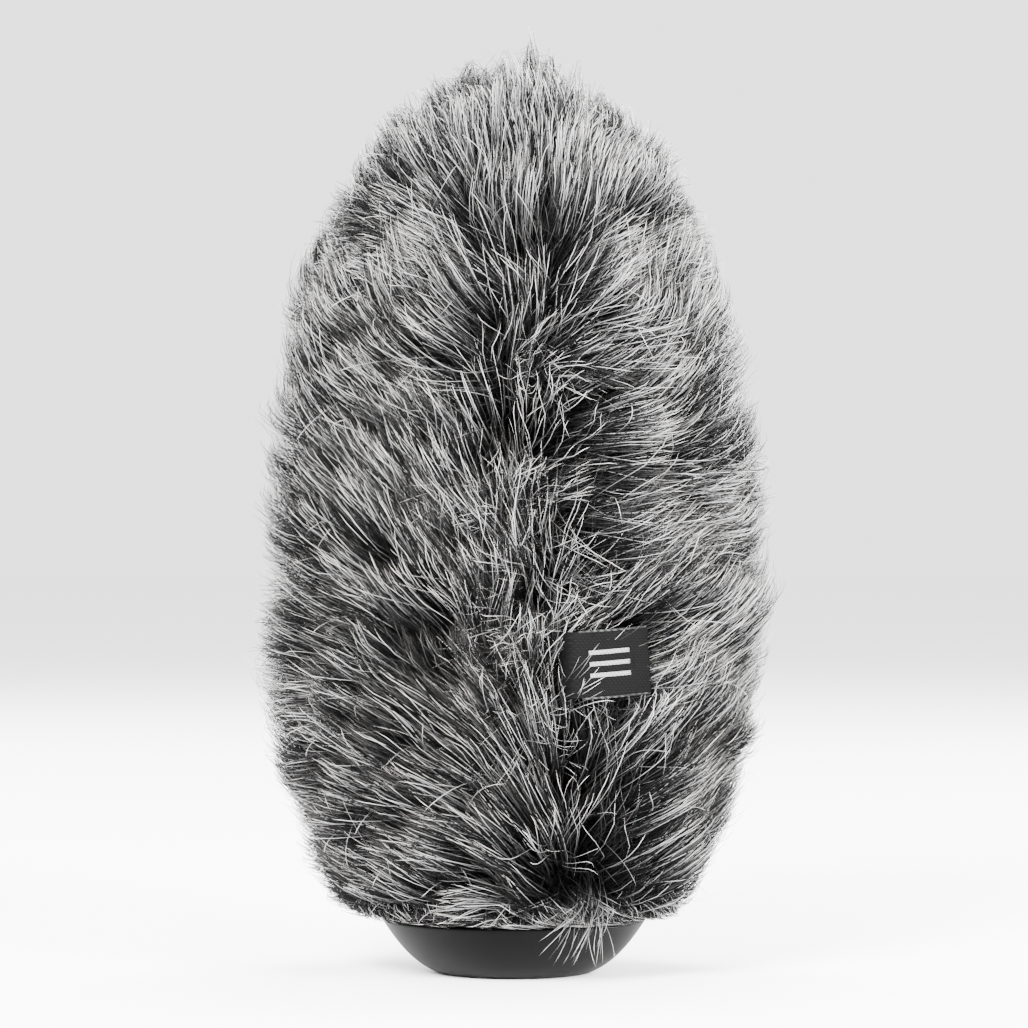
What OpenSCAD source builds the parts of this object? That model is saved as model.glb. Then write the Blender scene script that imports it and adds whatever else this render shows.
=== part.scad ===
// Slip-on fur windshield for a 19 mm shotgun microphone.
// A rubber boot grips the microphone and carries a meshed cage wrapped in foam, and a sewn
// cover of long-pile fur pulls down over the foam until its hem meets the boot's rim.
// +Z points up, the origin is the centre of the boot's underside and the label faces -Y.

/* [Microphone] */
// Radius of the bore that grips the microphone
bore_r = 9.5; // [9.3:0.1:9.8]
// Top of the space that the microphone fills
cavity_top = 145; // [130:1:146]

/* [Boot] */
// Radius of the flat underside
foot_r = 17; // [16:0.1:18]
// Radius of the rim that the hem rests on
rim_r = 28.8; // [28.6:0.1:29.4]
// Height of the rim
rim_z = 12; // [11:0.5:13]
// Height of the collar that grips the microphone
collar_top = 20; // [18:0.5:20]

/* [Core] */
// Outer radius of the foam and of the boot's spigot
foam_r = 27.4; // [27:0.1:27.5]
// Height at which the foam's round nose begins
dome_z = 146.6; // [146.5:0.1:152]
// Inner radius of the meshed cage
cage_r = 12.5; // [12.4:0.1:12.6]
// Wall of the meshed cage
cage_wall = 1.8; // [1.4:0.1:1.9]
// Rows of windows in the cage
window_rows = 9; // [6:1:10]

/* [Cover] */
// Gap between the core and the cover that slides off it
slide_gap = 0.4; // [0.3:0.1:0.5]
// Thickness of the knitted backing
backing_wall = 0.8; // [0.5:0.1:1]
// Angle of the front seam, from -Y towards +X
seam_turn = 14; // [5:1:20]
// Width of the tapes over the seams
tape_w = 8; // [5:1:12]

/* [Fur] */
// Radius of the pile at its widest
pile_r = 54.5; // [50:0.5:60]
// Height of the pile's widest ring
pile_widest_z = 75; // [65:1:85]
// Radius of the pile at its lower edge
pile_hem_r = 38.5; // [35:0.5:42]
// Top of the pile
pile_top = 198; // [190:1:205]

/* [Label] */
// Height of the label's middle
label_z = 68.5; // [60:0.5:80]
// Visible length of the label
label_l = 17.5; // [14:0.5:20]
// Width of the woven tape that the label is folded from
label_w = 14; // [10:0.5:16]
// Radius at which the label turns from the seam and lies on the pile
label_turn_r = 48; // [44:0.5:50]
// Lift of the label's free end
label_tilt = 4; // [0:1:8]

/* [Hidden] */
$fn = 96;

// boot
bowl_bulge_r = 6.2;
bowl_bulge_z = 2.2;
bowl_steps = 10;
rim_lip = 0.2;
floor_h = 4.5;
floor_slope_w = 5.9;
collar_r = 13.2;
collar_recess = 0.8;
collar_chamfer = 1.5;
spigot_top = 24;
spigot_wall = 2;
ledge_z = 13.2;
ledge_w = 2;
boot_inner_r = foam_r - spigot_wall;

// cage
insert_wall = 3;
insert_ledge_w = 2.4;
insert_ledge_h = 3;
flange_h = 2.5;
flange_z = 20;
flange_r = boot_inner_r - insert_wall;
cage_outer_r = cage_r + cage_wall;
socket_h = 3.5;
cage_foot_z = flange_z + flange_h;
cage_top = 150;
clip_wall = 0.8;
clip_h = 3;
clip_r = cage_outer_r + clip_wall;
socket_wall = 1;
socket_r = cage_outer_r + socket_wall;
window_w = 7;
window_turns = [-60, 0, 60];
web_h = 5;
windows_foot = 6;
windows_spare = 8;
window_pitch = (cavity_top - cage_foot_z - windows_spare) / window_rows;
window_h = window_pitch - web_h;
first_window_z = cage_foot_z + windows_foot;
slot_w = 3;
slot_foot = 4;
slot_turns = [0, 60, 120];
cap_wall = 2;
cap_overlap = 3;
pad_h = 4;
foam_clearance = 0.3;

// foam
inner_foam_in_r = clip_r + foam_clearance;
foam_split_r = 21;

// cover
hem_in_r = foam_r + slide_gap;
hem_wall = 0.5;
hem_gap = 0.3;
hem_z = rim_z + hem_gap;
hem_top = 20;
hem_fold = 0.6;
channel_w = 1.4;
elastic_r = 0.65;
elastic_gap = 0.1;
elastic_z = hem_z + hem_fold + elastic_r + elastic_gap;
backing_in_r = hem_in_r + hem_wall;
backing_r = backing_in_r + backing_wall;
backing_foot_gap = 0.4;
backing_z = elastic_z + elastic_r + backing_foot_gap;
hem_channel_r = backing_in_r + channel_w;
hem_out_r = hem_channel_r + hem_wall;
tape_wall = 0.4;
tape_gap = 0.4;
tape_foot_z = hem_top + tape_gap;

// pile
pile_foot_gap = 0.9;
pile_foot_z = hem_z + pile_foot_gap;
pile_steps = 12;
lower_power = 2.4;
upper_power = 2.2;
upper_root = 2.4;

// label
label_wall = 1;
label_root_r = backing_r + 0.2;
label_end_r = label_turn_r - 2;
label_slot_gap = 0.3;
label_slot_front = 0.6;
mark_wall = 0.15;
mark_bars = 3;
mark_bar_l = 9;
mark_bar_h = 0.9;
mark_pitch = 2.4;

big = 400;

// Radius of the pile's outer surface at a height
function pile_radius(z) =
    z < pile_widest_z
    ? pile_r - (pile_r - pile_hem_r)
        * pow((pile_widest_z - z) / (pile_widest_z - pile_foot_z), lower_power)
    : pile_r * pow(1 - pow((z - pile_widest_z) / (pile_top - pile_widest_z), upper_power),
        1 / upper_root);

// Points of the pile's outline between two heights, both included
function pile_curve(z0, z1) =
    [for (i = [0:pile_steps]) let (z = z0 + (z1 - z0) * i / pile_steps) [pile_radius(z), z]];

// Points of the crown's outline, closer together towards the top
function crown_curve() =
    [for (i = [0:pile_steps])
        let (z = dome_z + (pile_top - dome_z) * sin(90 * i / pile_steps))
        [i == pile_steps ? 0 : pile_radius(z), i == pile_steps ? pile_top : z]];

// A point on the quadratic curve from p0 to p2 that pulls towards p1
function bend(p0, p1, p2, t) = p0 * (1 - t) * (1 - t) + p1 * 2 * t * (1 - t) + p2 * t * t;

module tube(r_in, r_out, z0, z1) {
    difference() {
        translate([0, 0, z0]) cylinder(r = r_out, h = z1 - z0);
        translate([0, 0, z0 - 1]) cylinder(r = r_in, h = z1 - z0 + 2);
    }
}

// The half of its children on one side of the plane through the two long seams
module seam_half(side) {
    intersection() {
        children();
        rotate([0, 0, seam_turn]) translate([side > 0 ? 0 : -big, -big / 2, -1])
            cube([big, big, big]);
    }
}

// The half of its children with x above or below 0
module cage_half(side) {
    intersection() {
        children();
        translate([side > 0 ? 0 : -big, -big / 2, -1]) cube([big, big, big]);
    }
}

module base_boot() {
    bowl_foot = [foot_r, 0];
    bowl_pull = [foot_r + bowl_bulge_r, bowl_bulge_z];
    bowl_rim = [rim_r, rim_z - rim_lip];
    color("#2b2b2d") rotate_extrude() polygon(concat(
        [for (i = [0:bowl_steps]) bend(bowl_foot, bowl_pull, bowl_rim, i / bowl_steps)],
        [
            [rim_r - rim_lip, rim_z], [foam_r, rim_z], [foam_r, spigot_top],
            [boot_inner_r, spigot_top], [boot_inner_r, ledge_z],
            [boot_inner_r - ledge_w, ledge_z],
            [boot_inner_r - ledge_w - floor_slope_w, floor_h], [collar_r, floor_h], [collar_r, 0]
        ]
    ));
}

// Hard ring bonded inside the boot: it keeps the spigot round and carries the cage
module boot_insert_ring() {
    ring_in = boot_inner_r - insert_wall;
    color("#3a3a3c") rotate_extrude() polygon([
        [boot_inner_r, ledge_z], [boot_inner_r, spigot_top], [ring_in, spigot_top],
        [ring_in, flange_z], [ring_in - insert_ledge_w, flange_z],
        [ring_in - insert_ledge_w, flange_z - insert_ledge_h],
        [ring_in, flange_z - insert_ledge_h], [ring_in, ledge_z]
    ]);
}

module mic_grip_collar() {
    color("#1f1f20") difference() {
        translate([0, 0, collar_recess]) cylinder(r = collar_r, h = collar_top - collar_recess);
        translate([0, 0, -1]) cylinder(r = bore_r, h = collar_top + 2);
        translate([0, 0, collar_recess - 0.01])
            cylinder(r1 = bore_r + collar_chamfer, r2 = bore_r, h = collar_chamfer);
    }
}

module cage_base_flange() {
    color("#4a4a4c") {
        tube(cage_r, flange_r, flange_z, cage_foot_z);
        tube(cage_outer_r, socket_r, cage_foot_z, cage_foot_z + socket_h);
    }
}

// One half of the meshed tube, with three columns of windows
module cage_half_tube(side) {
    difference() {
        cage_half(side) tube(cage_r, cage_outer_r, cage_foot_z, cage_top);
        for (row = [0:window_rows - 1], turn = window_turns)
            rotate([0, 0, turn + (side > 0 ? 0 : 180)])
                translate([cage_r - 2, -window_w / 2, first_window_z + row * window_pitch])
                    cube([cage_wall + 4, window_w, window_h]);
    }
}

module cage_half_left() {
    color("#5a5a5c") cage_half_tube(-1);
}

module cage_half_right() {
    color("#646466") cage_half_tube(1);
}

// Three identical bands that hold the two halves together, on the webs between windows
module cage_clip_bands() {
    color("#303032") for (row = [1, window_rows / 2, window_rows - 1]) {
        web_z = first_window_z + floor(row) * window_pitch - web_h / 2;
        tube(cage_outer_r, clip_r, web_z - clip_h / 2, web_z + clip_h / 2);
    }
}

// Slotted dome that closes the cage
module cage_nose_cap() {
    color("#55555a") {
        tube(cage_outer_r, clip_r, cage_top - cap_overlap, cage_top);
        difference() {
            intersection() {
                translate([0, 0, cage_top]) sphere(r = clip_r);
                translate([-big / 2, -big / 2, cage_top]) cube([big, big, big]);
            }
            translate([0, 0, cage_top]) sphere(r = clip_r - cap_wall);
            for (turn = slot_turns)
                rotate([0, 0, turn]) translate([-clip_r, -slot_w / 2, cage_top + slot_foot])
                    cube([2 * clip_r, slot_w, clip_r]);
        }
    }
}

module mic_stop_pad() {
    color("#77777a") translate([0, 0, cavity_top]) cylinder(r = cage_r, h = pad_h);
}

module inner_foam_sleeve() {
    color("#4c4c4e") difference() {
        tube(inner_foam_in_r, foam_split_r, cage_foot_z, dome_z);
        translate([0, 0, cage_foot_z - 1])
            cylinder(r = socket_r + foam_clearance, h = socket_h + 1 + foam_clearance);
    }
}

module outer_foam_sleeve() {
    color("#3f3f41") tube(foam_split_r, foam_r, spigot_top, dome_z);
}

module foam_nose_plug() {
    color("#434345") difference() {
        intersection() {
            translate([0, 0, dome_z]) sphere(r = foam_r);
            translate([-big / 2, -big / 2, dome_z]) cube([big, big, big]);
        }
        translate([0, 0, dome_z - 1]) cylinder(r = inner_foam_in_r, h = cage_top - dome_z + 1);
        translate([0, 0, cage_top]) sphere(r = inner_foam_in_r);
    }
}

// Folded tape round the cover's lower edge, with a channel for the elastic
module hem_binding() {
    color("#141415") rotate_extrude() polygon([
        [hem_in_r, hem_z], [hem_out_r, hem_z], [hem_out_r, hem_top],
        [hem_channel_r, hem_top], [hem_channel_r, hem_z + hem_fold],
        [backing_in_r, hem_z + hem_fold], [backing_in_r, hem_top], [hem_in_r, hem_top]
    ]);
}

module hem_elastic() {
    color("#303030") rotate_extrude()
        translate([backing_in_r + channel_w / 2, elastic_z]) circle(r = elastic_r, $fn = 32);
}

module backing_panel_left() {
    color("#26262a") seam_half(-1) tube(backing_in_r, backing_r, backing_z, dome_z);
}

module backing_panel_right() {
    color("#2c2c30") seam_half(1) tube(backing_in_r, backing_r, backing_z, dome_z);
}

module backing_crown() {
    color("#222226") difference() {
        intersection() {
            translate([0, 0, dome_z]) sphere(r = backing_r);
            translate([-big / 2, -big / 2, dome_z]) cube([big, big, big]);
        }
        translate([0, 0, dome_z]) sphere(r = backing_in_r);
    }
}

// Tape inside a long seam: turn 0 is the front seam and 180 the back one
module seam_tape(turn) {
    intersection() {
        tube(backing_in_r - tape_wall, backing_in_r, tape_foot_z, dome_z - tape_w);
        rotate([0, 0, seam_turn + turn]) translate([-tape_w / 2, -big, 0])
            cube([tape_w, big, big]);
    }
}

module front_seam_tape() {
    color("#101011") seam_tape(0);
}

module back_seam_tape() {
    color("#101011") seam_tape(180);
}

module crown_seam_tape() {
    color("#101011")
        tube(backing_in_r - tape_wall, backing_in_r, dome_z - tape_w + tape_gap, dome_z);
}

// The pile below the crown on one side of the seams, with a slot for the label
module pile_half(side) {
    difference() {
        seam_half(side) rotate_extrude() polygon(concat(
            pile_curve(pile_foot_z, pile_widest_z),
            [for (p = pile_curve(pile_widest_z, dome_z)) if (p[1] > pile_widest_z) p],
            [
                [backing_r, dome_z], [backing_r, hem_top],
                [hem_out_r, hem_top], [hem_out_r, pile_foot_z]
            ]
        ));
        label_frame() label_strip(label_slot_gap, label_slot_front, backing_in_r);
    }
}

module fur_pile_left() {
    color("#6c6966") pile_half(-1);
}

module fur_pile_right() {
    color("#75726e") pile_half(1);
}

module fur_pile_crown() {
    color("#807c78") difference() {
        rotate_extrude() polygon(concat(crown_curve(), [[0, dome_z]]));
        translate([0, 0, dome_z]) sphere(r = backing_r);
    }
}

// The label's own frame: x runs round the pile, y runs inwards, z runs along the tape's width
module label_frame() {
    rotate([0, 0, seam_turn]) translate([0, 0, label_z]) rotate([0, -label_tilt, 0]) children();
}

// The folded tape from its root radius outwards, grown by a gap round it and by front on its face
module label_strip(gap, front, root_r) {
    translate([0, 0, -label_w / 2 - gap]) linear_extrude(height = label_w + 2 * gap) polygon([
        [-gap, -root_r],
        [-gap, -label_turn_r - front],
        [label_l + gap, -label_end_r - front],
        [label_l + gap, -label_end_r + label_wall + gap],
        [label_wall + gap, -label_turn_r + label_wall + gap],
        [label_wall + gap, -root_r]
    ]);
}

module label_tab() {
    color("#2a2a2c") label_frame() label_strip(0, 0, label_root_r);
}

// Three plain woven bars on the label's face
module label_mark() {
    face_turn = atan2(label_turn_r - label_end_r, label_l);
    color("#b9b7b2") label_frame() translate([0, -label_turn_r, 0]) rotate([0, 0, face_turn])
        for (i = [0:mark_bars - 1])
            translate([
                (label_l - mark_bar_l) / 2, -mark_wall,
                (i - (mark_bars - 1) / 2) * mark_pitch - mark_bar_h / 2
            ])
                cube([mark_bar_l, mark_wall, mark_bar_h]);
}

base_boot();
boot_insert_ring();
mic_grip_collar();
cage_base_flange();
cage_half_left();
cage_half_right();
cage_clip_bands();
cage_nose_cap();
mic_stop_pad();
inner_foam_sleeve();
outer_foam_sleeve();
foam_nose_plug();
hem_binding();
hem_elastic();
backing_panel_left();
backing_panel_right();
backing_crown();
front_seam_tape();
back_seam_tape();
crown_seam_tape();
fur_pile_left();
fur_pile_right();
fur_pile_crown();
label_tab();
label_mark();
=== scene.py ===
"""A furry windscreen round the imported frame: a rubber boot, a foam core and a lift-off cover of long fur."""
import math

import bmesh
import bpy
import numpy as np
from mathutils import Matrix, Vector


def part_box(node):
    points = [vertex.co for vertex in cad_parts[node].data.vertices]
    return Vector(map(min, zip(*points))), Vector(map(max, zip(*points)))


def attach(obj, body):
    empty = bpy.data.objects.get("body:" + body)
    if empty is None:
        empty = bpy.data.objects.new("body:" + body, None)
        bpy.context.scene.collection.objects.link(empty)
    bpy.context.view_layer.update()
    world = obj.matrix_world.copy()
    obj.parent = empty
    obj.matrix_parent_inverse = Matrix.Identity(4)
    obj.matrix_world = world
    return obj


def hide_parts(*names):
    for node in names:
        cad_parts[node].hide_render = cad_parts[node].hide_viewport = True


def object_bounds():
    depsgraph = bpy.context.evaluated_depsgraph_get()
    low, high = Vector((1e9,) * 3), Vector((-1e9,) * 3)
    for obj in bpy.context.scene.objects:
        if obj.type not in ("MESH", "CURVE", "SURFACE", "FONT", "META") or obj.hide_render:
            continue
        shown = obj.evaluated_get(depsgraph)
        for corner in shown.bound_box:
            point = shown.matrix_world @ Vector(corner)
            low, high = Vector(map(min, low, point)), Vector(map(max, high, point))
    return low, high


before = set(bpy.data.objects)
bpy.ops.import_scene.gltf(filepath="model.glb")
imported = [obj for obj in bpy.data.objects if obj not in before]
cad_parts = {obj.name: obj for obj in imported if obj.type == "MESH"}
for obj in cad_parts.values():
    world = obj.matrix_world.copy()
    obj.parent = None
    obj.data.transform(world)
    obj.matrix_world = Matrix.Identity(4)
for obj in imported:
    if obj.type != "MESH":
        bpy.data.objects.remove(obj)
cad_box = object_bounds()

MM = 0.001
UP = np.array([0.0, 0.0, 1.0])

# Sizes that the frame gives
BACKING_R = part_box("backing_crown")[1][0]
BACKING_IN_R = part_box("crown_seam_tape")[1][0]
DOME_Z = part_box("backing_crown")[0][2]
PILE_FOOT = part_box("fur_pile_left")[0][2]
PILE_R = cad_box[1][0]
PILE_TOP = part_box("fur_pile_crown")[1][2]
BOOT_RIM_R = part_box("base_boot")[1][0]
SPIGOT_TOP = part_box("base_boot")[1][2]
FOAM_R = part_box("outer_foam_sleeve")[1][0]
HEM_LOW, HEM_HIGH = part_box("hem_binding")
HEM_R = HEM_HIGH[0]

# The pile's outline: the height where it is widest, its radius at the hem and its curve's powers
PILE_WIDEST = 75 * MM
PILE_HEM_R = 38.5 * MM
LOWER_POWER = 2.4
UPPER_POWER = 2.2
UPPER_ROOT = 2.4

# The front seam, and the label sewn into it
SEAM_TURN = math.radians(14)
LABEL_Z = 68.5 * MM
LABEL_LENGTH = 17.5 * MM
LABEL_WIDTH = 14 * MM
LABEL_TURN_R = 48 * MM
LABEL_TILT = math.radians(4)
BAR_LENGTH = 9 * MM
FACE_FROM = 23  # the point of the label's path where its flat face begins

PILE_MID_R = 45 * MM  # where lengths along the pile are measured
HEM_CLEAR_Z = 13 * MM  # the fur is drawn up above this height, clear of the boot
GOLDEN_ANGLE = math.pi * (3 - math.sqrt(5))

UV_LAYER = "OFBake"  # the map that holds each hair's tint and its way from root to tip


# ---------- numbers

def smooth(value, low, high):
    """0 below low, 1 above high and a smooth step between."""
    t = np.clip((value - low) / (high - low), 0, 1)
    return t * t * (3 - 2 * t)


def unit(vectors):
    return vectors / np.maximum(np.linalg.norm(vectors, axis=-1, keepdims=True), 1e-12)


def ripples(turn, height, seed, along, around=(2, 9)):
    """Smooth noise round and along the body, about -1 to 1."""
    draw = np.random.default_rng(seed)
    waves = 6
    total = 0
    for _ in range(waves):
        total = total + np.sin(
            draw.integers(*around) * turn + draw.uniform(*along) * height + draw.uniform(0, math.tau)
        )
    return total / math.sqrt(waves)


def wrapped(turn):
    """The same angle between -pi and pi."""
    return (turn + math.pi) % math.tau - math.pi


def round_points(r, turn, z):
    """Points at a radius, an angle round the body and a height."""
    parts = np.broadcast_arrays(r * np.sin(turn), -r * np.cos(turn), z)
    return np.stack(parts, axis=-1)


def around_at(turn):
    """The level direction round the body at an angle."""
    return np.stack([np.cos(turn), np.sin(turn), np.zeros_like(turn)], axis=-1)


def pile_radius(z):
    """The radius of the pile's outer surface at a height."""
    low = np.clip((PILE_WIDEST - z) / (PILE_WIDEST - PILE_FOOT), 0, 1)
    high = np.clip((z - PILE_WIDEST) / (PILE_TOP - PILE_WIDEST), 0, 1)
    below = PILE_R - (PILE_R - PILE_HEM_R) * low ** LOWER_POWER
    above = PILE_R * (1 - high ** UPPER_POWER) ** (1 / UPPER_ROOT)
    return np.where(z < PILE_WIDEST, below, above)


# ---------- the skin that the fur grows on

def skin_of(points):
    """The nearest points of the knitted backing, and its outward normals there."""
    centre = np.zeros_like(points)
    centre[..., 2] = np.minimum(points[..., 2], DOME_Z)
    normal = unit(points - centre)
    return centre + BACKING_R * normal, normal


def turn_of(points):
    """The angle round the body, from -Y towards +X."""
    return np.arctan2(points[..., 0], -points[..., 1])


def dome_lofts():
    """The pile's height over the dome, against the dome's rise from its equator."""
    z = DOME_Z + (PILE_TOP - DOME_Z) * np.sin(np.linspace(0, math.pi / 2, 60))
    r = pile_radius(z)
    return np.arctan2(z - DOME_Z, r), np.hypot(z - DOME_Z, r) - BACKING_R


DOME_RISE, DOME_LOFT = dome_lofts()


# The front parting, a line drawn beside the seam: heights in mm and turns in degrees
PARTING_HEIGHTS = [10, 18, 35, 50, 72, 90, 114, 130, 150]
PARTING_TURNS = [27, 26, 17, 12.5, 14.5, 7.5, 5, 6.5, 2.5]


def parting_turn(z):
    """Where the front parting runs at a height."""
    return np.interp(z, np.array(PARTING_HEIGHTS) * MM, np.radians(PARTING_TURNS))


def from_parting(turn, z):
    """The angle from the front parting, -pi to pi."""
    return wrapped(turn - parting_turn(z))


def near_parting(turn, z, reach):
    """1 on the front parting and 0 away from it, with a reach in degrees."""
    return np.exp(-(np.degrees(from_parting(turn, z)) / reach) ** 2)


def under_label(turn, z):
    """1 where the label presses the pile down, and 0 away from it."""
    across = (turn - SEAM_TURN) * LABEL_TURN_R
    width = smooth(across, -2 * MM, 0.5 * MM) * (1 - smooth(across, LABEL_LENGTH, LABEL_LENGTH + 3 * MM))
    lift = np.abs(z - LABEL_Z - across * math.tan(LABEL_TILT) / 2)
    return width * (1 - smooth(lift, LABEL_WIDTH / 2, LABEL_WIDTH / 2 + 2.5 * MM))


def patch(turn, z, patch_turn, patch_z, reach):
    """1 in the middle of a soft round patch and 0 away from it: turn in degrees, height and reach in mm."""
    off_turn = wrapped(turn - math.radians(patch_turn))
    off = np.hypot(off_turn * PILE_MID_R, z - patch_z * MM) / (reach * MM)
    return np.exp(-off ** 2)


def patches(turn, z, places):
    """The sum of patches, each with its turn, height, reach and depth."""
    total = np.zeros_like(z)
    for patch_turn, patch_z, reach, depth in places:
        total = total + depth * patch(turn, z, patch_turn, patch_z, reach)
    return total


# Patches placed one by one. Where the pile sinks in:
HOLLOWS = [
    (6, 84, 6, 0.5), (-17, 80, 6, 0.45), (-11, 55, 6, 0.5), (4, 133, 9, 0.4), (2, 114, 6, 0.45),
    (26, 18, 6, 0.35), (9, 97, 6, 0.45), (-62, 62, 6, 0.35), (4, 147, 6, 0.4), (14, 42, 5, 0.4),
    (8, 66, 9, 0.4), (-42, 78, 5, 0.3), (20, 30, 5, 0.35), (-2, 54, 6, 0.35), (-16, 64, 6, 0.4),
    (-28, 57, 5, 0.35), (-14, 50, 5, 0.3),
]
# Where it stands out of the outline:
BULGES = [
    (-90, 62, 5, 0.10), (-86, 48, 4, 0.08), (-92, 100, 6, 0.05), (-88, 124, 5, 0.09), (-92, 36, 4, 0.06),
    (-90, 152, 8, 0.10), (-80, 166, 6, 0.12), (92, 58, 5, 0.08), (88, 84, 5, 0.06), (92, 112, 5, 0.08),
    (88, 140, 5, 0.08), (80, 164, 6, 0.08), (90, 30, 5, 0.08), (92, 18, 8, 0.14), (-92, 20, 8, 0.16),
]
# Where it is darker: painted shade over the hollows left of the label and on the lower left:
PAINTED_SHADE_PATCHES = [(-14, 54, 15, 0.5), (-35, 40, 20, 0.2)]
# Where it is tousled:
TOUSLED = [(7, 131, 6, 0.9), (7, 70, 9, 0.9), (-3, 57, 8, 0.8), (9, 86, 4, 0.5), (-3, 101, 5, 0.5)]


def loft_of(skin, normal):
    """How high the pile stands over a point of the backing."""
    turn = turn_of(skin)
    z = skin[..., 2]
    rise = np.arcsin(np.clip(normal[..., 2], 0, 1))
    loft = np.where(z < DOME_Z, pile_radius(z) - BACKING_R, np.interp(rise, DOME_RISE, DOME_LOFT))
    loft = loft * (1 + 0.05 * ripples(turn, z, 41, around=(3, 12), along=(90, 360)))
    below_crown = 1 - smooth(z, 140 * MM, 158 * MM)
    groove = near_parting(turn, z, 7) * below_crown
    loft = loft * (1 - 0.2 * groove) * (1 - np.minimum(patches(turn, z, HOLLOWS), 0.55))
    loft = loft * (1 + patches(turn, z, BULGES))
    pressed = LABEL_TURN_R - 3 * MM - BACKING_R
    return loft + (np.minimum(pressed, loft) - loft) * under_label(turn, z)


# ---------- how the fur is combed

# Strokes of the comb: turn in degrees, height in mm, reach in mm, direction in degrees
# (0 is towards +X as seen from outside, 90 is up) and strength
STROKES = [
    (12, 108, 11, -46, 3.4), (24, 97, 9, -42, 1.6), (40, 104, 12, -5, 1.0), (-14, 84, 9, 112, 2.0),
    (-24, 92, 8, 150, 1.2), (-11, 57, 8, 100, 1.6), (-25, 19, 12, 165, 2.0), (-60, 17, 15, 172, 1.6),
    (40, 27, 13, 62, 1.8), (32, 42, 11, 68, 1.6), (52, 16, 7, 0, 2.4), (60, 60, 14, 35, 1.0),
    (-50, 125, 14, 140, 1.0), (150, 90, 22, -60, 1.0), (-140, 60, 20, -130, 1.0),
]

# How steeply the fur rises: degrees from level, against degrees from the parting, on its two sides
SPREADS = [0, 8, 45, 90, 135, 165, 180]
LEFT_LIFTS = [54, 54, 37, 13, -35, -78, -90]
RIGHT_LIFTS = [42, 42, 32, 13, -35, -78, -90]

# Where the fur of the crown fans out from, on the front of the backing
CROWN_FOCUS = np.array([0.002, -0.0285, 0.147])


def combed(skin, normal):
    """The tangential direction that the fur is combed in, with a length from 0 to 1."""
    turn = turn_of(skin)
    z = skin[..., 2]
    away = from_parting(turn, z)
    side = np.tanh(away / math.radians(1.5))
    spread = np.degrees(np.abs(away))
    lift = np.where(side < 0, np.interp(spread, SPREADS, LEFT_LIFTS), np.interp(spread, SPREADS, RIGHT_LIFTS))
    steeper = 9 * smooth(z, 95 * MM, 125 * MM) * (1 - smooth(spread, 50, 110))
    lift = np.radians(lift + steeper)
    flow_around = side * np.cos(lift)
    flow_up = np.sin(lift)

    for stroke_turn, stroke_z, reach, direction, strength in STROKES:
        weight = strength * patch(turn, z, stroke_turn, stroke_z, reach)
        flow_around = flow_around + weight * math.cos(math.radians(direction))
        flow_up = flow_up + weight * math.sin(math.radians(direction))

    swirl = 0.27 * ripples(turn, z, 11, along=(50, 130))
    flow_around, flow_up = (
        flow_around * np.cos(swirl) - flow_up * np.sin(swirl),
        flow_around * np.sin(swirl) + flow_up * np.cos(swirl),
    )
    fringe = 1 - smooth(z, 15 * MM, 30 * MM)
    flow_up = flow_up - 0.55 * fringe

    body_flow = around_at(turn) * flow_around[..., None] + UP * flow_up[..., None]

    fan = unit(skin - CROWN_FOCUS)
    over = smooth(skin[..., 1], 0, 26 * MM)[..., None]
    crown_flow = fan + UP * (0.15 - 1.3 * over)
    crown = smooth(z, 140 * MM, 153 * MM)[..., None]
    flow = unit(body_flow) * (1 - crown) + crown_flow * crown
    flow = flow - normal * (flow * normal).sum(-1, keepdims=True)
    size = np.linalg.norm(flow, axis=-1, keepdims=True)
    return flow / np.maximum(size, 1)


TOP_RUN = DOME_Z + 1.5 * BACKING_R  # just short of the pole, up the backing's outline


def roots(count, low):
    """Evenly spread points of the backing above a height, closer together on the dome."""
    runs = np.linspace(low, TOP_RUN, 400)
    rise = np.clip((runs - DOME_Z) / BACKING_R, 0, math.pi / 2)
    outer_r = np.where(runs < DOME_Z, 1.0, 1.6) * np.cos(rise) + 0.02
    share = np.cumsum(outer_r)
    share = share / share[-1]
    index = np.arange(count)
    run = np.interp((index + 0.5) / count, share, runs)
    turn = index * GOLDEN_ANGLE
    rise = np.clip((run - DOME_Z) / BACKING_R, 0, math.pi / 2)
    r = BACKING_R * np.cos(rise)
    return round_points(r, turn, np.minimum(run, DOME_Z) + BACKING_R * np.sin(rise))


def jitter(points, size, draw):
    """The points moved about on the backing."""
    return skin_of(points + draw.normal(0, size, points.shape))[0]


def grow(root, t, lay, stand, rise_power, lay_power, sway):
    """Lines of hair from their roots: each leans over into the combed direction as it rises.

    lay is its reach, stand its share of the pile's height, and sway turns it off the combed direction.
    """
    skin, normal = skin_of(root)
    flow = combed(skin, normal)
    turned = np.cross(normal, flow)
    flow = flow * np.cos(sway)[:, None] + turned * np.sin(sway)[:, None]
    lay = lay * (1 + 0.3 * near_parting(turn_of(skin), skin[:, 2], 16))
    shrink = BACKING_R / PILE_MID_R
    flat = flow.copy()
    flat[:, 2] = flow[:, 2] * np.where(skin[:, 2] < DOME_Z, 1 / shrink, 1)
    lines = np.empty((len(root), len(t), 3))
    for i, at in enumerate(t):
        ground, out = skin_of(skin + flat * (shrink * lay * at ** lay_power)[:, None])
        rise = loft_of(ground, out) * stand * (1 - (1 - at) ** rise_power)
        lines[:, i] = ground + out * rise[:, None]
    return lines, np.cross(normal, unit(flow + 1e-6))


def waved(lines, across, t, size, phase, turns):
    """The lines with a wave of a size, a phase and a number of turns, which grows towards the tip."""
    along = t[None, :] * turns[:, None] * math.tau + phase[:, None]
    swing = (size[:, None] * t[None, :] ** 1.1)[..., None]
    normal = skin_of(lines)[1]
    sideways = np.sin(along)[..., None] * across[:, None, :]
    return lines + swing * (sideways + 0.5 * np.cos(along)[..., None] * normal)


# ---------- meshes

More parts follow.
